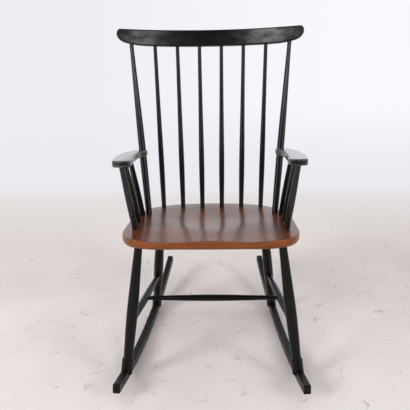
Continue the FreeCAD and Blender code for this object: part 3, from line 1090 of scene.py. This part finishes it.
@dataclass(frozen=True)
class Finish:
    """A finish on wood: two tones, two roughnesses and a grain that stands up a little."""

    name: str
    dark: Colour
    light: Colour
    sheen_low: float
    sheen_high: float
    coat: float
    coat_roughness: float
    figure: float
    pores: float
    relief: float
    specular: float
    coat_ior: float = 1.5
    thin: float = 0.85
    # Darker tones for faces that look up: painted shade on the top.
    painted_top_shade: tuple[Colour, Colour] | None = None
    glint: Colour = (1.0, 1.0, 1.0, 1)

    def build(self, groups: Groups, along: Vector | None = None) -> bpy.types.Material:
        """Make the material.

        Args:
            groups: The shared shader groups.
            along: The direction of the grain, or None for X.

        Returns:
            The material.
        """
        suffix = "" if along is None else "_" + "_".join(f"{round(value * 100):d}" for value in along)
        material = bpy.data.materials.new((self.name + suffix).replace("-", "m"))
        material.use_nodes = True
        weave = Weave(material.node_tree)
        surface = material.node_tree.nodes["Principled BSDF"]
        coordinates = weave.add("ShaderNodeTexCoord")
        place = coordinates.outputs["Object"]
        if along is not None:
            turn = weave.add("ShaderNodeMapping")
            turn.inputs["Rotation"].default_value = along.rotation_difference(Vector((1, 0, 0))).to_euler()
            weave.join(place, turn.inputs["Vector"])
            place = turn.outputs["Vector"]
        grain = weave.add("ShaderNodeGroup", node_tree=groups.grain)
        grain.inputs["Figure"].default_value = self.figure
        grain.inputs["Pores"].default_value = self.pores
        use = weave.add("ShaderNodeGroup", node_tree=groups.handling)
        weave.join(place, grain.inputs["Place"])
        weave.join(place, use.inputs["Place"])
        tone = weave.blend(grain.outputs["Tone"], self.dark, self.light)
        thickness = weave.range(use.outputs["Wave"], 0.35, 0.65, self.thin * self.coat, self.coat)
        # Faces that look up take darker tones: painted shade, the top getting less light than the front edge.
        # The coat is also thinner on the sides.
        if self.painted_top_shade is not None:
            up = weave.add("ShaderNodeSeparateXYZ")
            weave.join(coordinates.outputs["Normal"], up.inputs[0])
            facing = weave.range(up.outputs["Z"], 0.55, 0.9, 0.0, 1.0)
            tone = weave.blend(facing, tone, weave.blend(grain.outputs["Tone"], *self.painted_top_shade))
            thickness = weave.math("MULTIPLY", thickness, weave.range(facing, 0.0, 1.0, 0.5, 1.0))
        weave.join(tone, surface.inputs["Base Color"])
        shine = weave.range(use.outputs["Patch"], 0.0, 1.0, self.sheen_low, self.sheen_high)
        spots = weave.math("MULTIPLY", use.outputs["Mark"], 0.06)
        weave.join(weave.math("ADD", shine, spots), surface.inputs["Roughness"])
        bump = weave.add("ShaderNodeBump")
        bump.inputs["Distance"].default_value = self.relief
        bump.inputs["Strength"].default_value = 1.0
        weave.join(grain.outputs["Height"], bump.inputs["Height"])
        weave.join(bump.outputs["Normal"], surface.inputs["Normal"])
        weave.join(thickness, surface.inputs["Coat Weight"])
        surface.inputs["Specular IOR Level"].default_value = self.specular
        surface.inputs["Specular Tint"].default_value = self.glint
        surface.inputs["Coat IOR"].default_value = self.coat_ior
        surface.inputs["Coat Roughness"].default_value = self.coat_roughness
        return material


BLACK_LACQUER = Finish("black_lacquer", (0.0020, 0.0022, 0.0021, 1), (0.0050, 0.0053, 0.0050, 1), 0.30, 0.45,
                       1.0, 0.15, 6.0, 160.0, 0.00001, 0.05, 1.42)
ARM_LACQUER = Finish("arm_lacquer", (0.0020, 0.0022, 0.0021, 1), (0.0050, 0.0053, 0.0050, 1), 0.20, 0.30,
                     1.0, 0.10, 6.0, 160.0, 0.00003, 0.5, 1.57)
CREST_LACQUER = replace(BLACK_LACQUER, name="crest_lacquer", coat_roughness=0.19, coat_ior=1.36, thin=0.3)
LEG_LACQUER = replace(BLACK_LACQUER, name="leg_lacquer", coat=0.6, coat_ior=1.3)
ROCKER_LACQUER = replace(LEG_LACQUER, name="rocker_lacquer", dark=(0.0032, 0.0026, 0.0020, 1),
                         light=(0.0110, 0.0090, 0.0070, 1), coat=0.35, coat_roughness=0.28)
# The seat's last tone pair darkens its up-facing top as painted shade.
SEAT_VARNISH = Finish("seat_varnish", (0.090, 0.022, 0.003, 1), (0.25, 0.062, 0.007, 1), 0.35, 0.45,
                      0.95, 0.23, 5.0, 120.0, 0.00003, 0.22, 1.45, 0.85,
                      ((0.042, 0.009, 0.002, 1), (0.165, 0.038, 0.004, 1)), (1.0, 0.80, 0.60, 1))


@dataclass
class Studio:
    """A pale floor that sweeps up into a wall, soft lamps, and the camera."""

    floor_front: float = -4.0
    floor_rear: float = 1.7
    floor_half: float = 6.0
    cove_radius: float = 0.6
    wall_height: float = 4.0
    floor_dark: Colour = (0.70, 0.650, 0.630, 1)
    floor_light: Colour = (0.78, 0.730, 0.710, 1)
    crack_colour: Colour = (0.42, 0.38, 0.36, 1)
    far_colour: Colour = (0.80, 0.768, 0.76, 1)
    # The wall's glow is painted shade: darker at its foot and towards the left.
    shaded_foot_colour: Colour = (0.835, 0.812, 0.872, 1)
    shaded_left_colour: Colour = (0.865, 0.850, 0.905, 1)
    right_colour: Colour = (0.95, 0.945, 1.0, 1)
    fade_start: float = 0.55
    fade_end: float = 1.7
    sky_high: float = 0.80
    sky_low: float = 0.15
    camera_place: Sequence[float] = (0.0379, -1.6817, 1.0263)
    heading_deg: float = 2.066
    pitch_deg: float = 18.322
    roll_deg: float = 1.123
    focal_share: float = 525.5 / 410
    sensor_width: float = 36.0

    def backdrop(self) -> None:
        """Make the floor with its cove and wall in one sheet."""
        clear_selection()
        bpy.ops.mesh.primitive_plane_add(size=1.0, location=(0, 0, 0))
        sheet = bpy.context.object
        sheet.name = "floor_and_wall"
        bench = Bench(sheet)
        bench.pick(Pick.VERTS, lambda place, normal: True)
        depth = self.floor_rear - self.floor_front
        bench.resize((2 * self.floor_half, depth, 1), (0, 0, 0))
        bpy.ops.transform.translate(value=(0, self.floor_rear - depth / 2, 0))
        rear = self.floor_rear
        bench.pick(Pick.EDGES, lambda place, normal: abs(place.y - rear) < MM)
        bpy.ops.mesh.spin(steps=16, angle=-math.radians(90), center=(0, rear, self.cove_radius),
                          axis=(1, 0, 0))
        bench.piece.data.update()
        bench.pick(Pick.EDGES, lambda place, normal: place.z > self.cove_radius - MM)
        bench.extrude((0, 0, self.wall_height))
        bpy.ops.object.mode_set(mode="OBJECT")
        bpy.ops.object.shade_smooth()
        sheet.data.materials.append(self.paper())

    def paper(self) -> bpy.types.Material:
        """The backdrop's material, paler up the wall than on the floor."""
        material = bpy.data.materials.new("studio_paper")
        material.use_nodes = True
        weave = Weave(material.node_tree)
        surface = material.node_tree.nodes["Principled BSDF"]
        place = weave.add("ShaderNodeTexCoord").outputs["Object"]
        split = weave.add("ShaderNodeSeparateXYZ")
        weave.join(place, split.inputs[0])
        back = weave.range(split.outputs["Y"], self.fade_start, self.fade_end, 0.0, 1.0)
        cast = weave.add("ShaderNodeGroup", node_tree=cement_group())
        weave.join(place, cast.inputs["Place"])
        tone = weave.blend(cast.outputs["Cloud"], self.floor_dark, self.floor_light)
        tone = weave.blend(cast.outputs["Crack"], tone, self.crack_colour)
        weave.join(tone, surface.inputs["Base Color"])
        # Painted shade on the wall's glow: darker towards the left and at the wall's foot.
        wall = weave.blend(weave.range(split.outputs["X"], -1.0, 1.0, 0.0, 1.0), self.shaded_left_colour,
                           self.right_colour)
        wall = weave.blend(weave.range(split.outputs["Z"], 0.0, 0.5, 0.0, 1.0), self.shaded_foot_colour, wall)
        step = weave.range(split.outputs["Y"], self.fade_end - 0.12, self.fade_end + 0.08, 0.0, 1.0)
        wall = weave.blend(step, self.far_colour, wall)
        surface.inputs["Roughness"].default_value = 0.6
        surface.inputs["Specular IOR Level"].default_value = 0.2
        rays = weave.add("ShaderNodeLightPath")
        seen = weave.math("MAXIMUM", rays.outputs["Is Camera Ray"], rays.outputs["Is Glossy Ray"])
        seen = weave.math("MAXIMUM", seen, rays.outputs["Is Transmission Ray"])
        glow = weave.add("ShaderNodeEmission")
        weave.join(wall, glow.inputs["Color"])
        blend = weave.add("ShaderNodeMixShader")
        weave.join(weave.math("MULTIPLY", back, seen), blend.inputs[0])
        weave.join(surface.outputs[0], blend.inputs[1])
        weave.join(glow.outputs[0], blend.inputs[2])
        weave.join(blend.outputs[0], material.node_tree.nodes["Material Output"].inputs["Surface"])
        return material

    def lamp(self, name: str, place: Sequence[float], target: Sequence[float], size: float,
             power: float, glow: Glow = Glow.BOTH) -> None:
        """A square soft lamp.

        Args:
            name: Its name.
            place: Where it hangs.
            target: What it faces.
            size: Its side.
            power: Its power in watts.
            glow: What it does.
        """
        data = bpy.data.lights.new(name, "AREA")
        data.size = size
        data.energy = power
        lamp = bpy.data.objects.new(name, data)
        bpy.context.scene.collection.objects.link(lamp)
        lamp.location = place
        lamp.rotation_euler = (Vector(target) - Vector(place)).to_track_quat("-Z", "Y").to_euler()
        lamp.visible_camera = False
        lamp.visible_diffuse, lamp.visible_glossy = glow.value

    def world(self) -> None:
        """Even light from above, dimmer from behind the camera."""
        world = bpy.data.worlds.new("studio")
        world.use_nodes = True
        bpy.context.scene.world = world
        weave = Weave(world.node_tree)
        background = world.node_tree.nodes["Background"]
        split = weave.add("ShaderNodeSeparateXYZ")
        weave.join(weave.add("ShaderNodeTexCoord").outputs["Generated"], split.inputs[0])
        front = weave.range(split.outputs["Y"], -1.0, 0.0, 1.0, 0.0)
        low = weave.range(split.outputs["Z"], 0.35, 0.75, 1.0, 0.0)
        dim = weave.range(weave.math("MULTIPLY", front, low), 0.0, 0.6, self.sky_high, self.sky_low)
        background.inputs["Color"].default_value = (0.95, 0.95, 0.97, 1)
        weave.join(dim, background.inputs["Strength"])

    def camera(self) -> None:
        """The camera at the photograph's place and angle."""
        data = bpy.data.cameras.new("camera")
        data.sensor_width = self.sensor_width
        data.lens = self.focal_share * self.sensor_width
        camera = bpy.data.objects.new("camera", data)
        bpy.context.scene.collection.objects.link(camera)
        camera.matrix_world = (
            Matrix.Translation(self.camera_place)
            @ Matrix.Rotation(math.radians(self.heading_deg), 4, "Z")
            @ Matrix.Rotation(math.radians(90 - self.pitch_deg), 4, "X")
            @ Matrix.Rotation(-math.radians(self.roll_deg), 4, "Z")
        )
        bpy.context.scene.camera = camera

    def build(self) -> None:
        """Set up the whole studio."""
        self.backdrop()
        self.world()
        self.lamp("right_box", (0.875, -2.5, 2.15), (0, 0, 0.6), 0.42, 6.0)
        self.lamp("left_box", (-0.86, -2.4, 2.15), (0, 0, 0.6), 0.46, 9.0)
        self.lamp("left_key", (-4.16, -3.6, 2.70), (0, 0, 0.3), 1.6, 192, Glow.MATT)
        self.lamp("right_key", (4.64, -4.0, 2.94), (0, 0, 0.3), 1.6, 130, Glow.MATT)
        self.lamp("left_panel", (-2.6, -2.25, 1.80), (0, 0, 0.3), 2.0, 27, Glow.GLOSS)
        self.lamp("right_panel", (2.9, -2.5, 1.95), (0, 0, 0.3), 2.0, 27, Glow.GLOSS)
        self.camera()
        bpy.context.scene.view_settings.view_transform = "Standard"


@dataclass
class RockingChair:
    """The whole chair: every piece over its solid, dressed and riding on the frame."""

    seat: SeatBoard = field(default_factory=SeatBoard)
    crest: CrestRail = field(default_factory=CrestRail)
    sticks: Sticks = field(default_factory=Sticks)
    arms: Arms = field(default_factory=Arms)
    rockers: Rockers = field(default_factory=Rockers)
    legs: Legs = field(default_factory=Legs)

    def build(self) -> None:
        """Make, dress and mount every piece."""
        groups = Groups(grain_group(), handling_group())
        black = BLACK_LACQUER.build(groups)
        varnish = SEAT_VARNISH.build(groups)
        made = {**self.seat.build(), **self.crest.build(), **self.sticks.build(), **self.arms.build(),
                **self.rockers.build(), **self.legs.build(self.rockers)}
        arm, leg, rocker = (finish.build(groups) for finish in (ARM_LACQUER, LEG_LACQUER, ROCKER_LACQUER))
        special = {"seat": (varnish, Slot.SEAT), "arm_right": (arm, Slot.BLACK), "arm_left": (arm, Slot.BLACK),
                   "crest_rail": (CREST_LACQUER.build(groups), Slot.BLACK),
                   **{node: (leg, Slot.BLACK) for node in made if "leg" in node or "stretcher" in node},
                   **{node: (rocker, Slot.BLACK) for node in made if "rocker" in node}}
        for node, piece in made.items():
            finish, slot = special.get(node, (black, Slot.BLACK))
            self.dress(piece, finish)
            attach(piece, BODY)
            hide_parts(node)
            LOG.info("%s stands for %s, %d faces", piece.name, node, len(piece.data.polygons))
        for node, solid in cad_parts.items():
            if node not in made:
                self.dress(solid, black)
                LOG.info("%s keeps its solid", node)

    @staticmethod
    def dress(piece: bpy.types.Object, material: bpy.types.Material) -> None:
        """Give a piece its material in place of any it has."""
        piece.data.materials.clear()
        piece.data.materials.append(material)


def main() -> None:
    """Build the studio and the chair."""
    logging.basicConfig(level=logging.INFO, format="%(message)s")
    Studio().build()
    RockingChair().build()


if __name__ == "__main__":
    main()
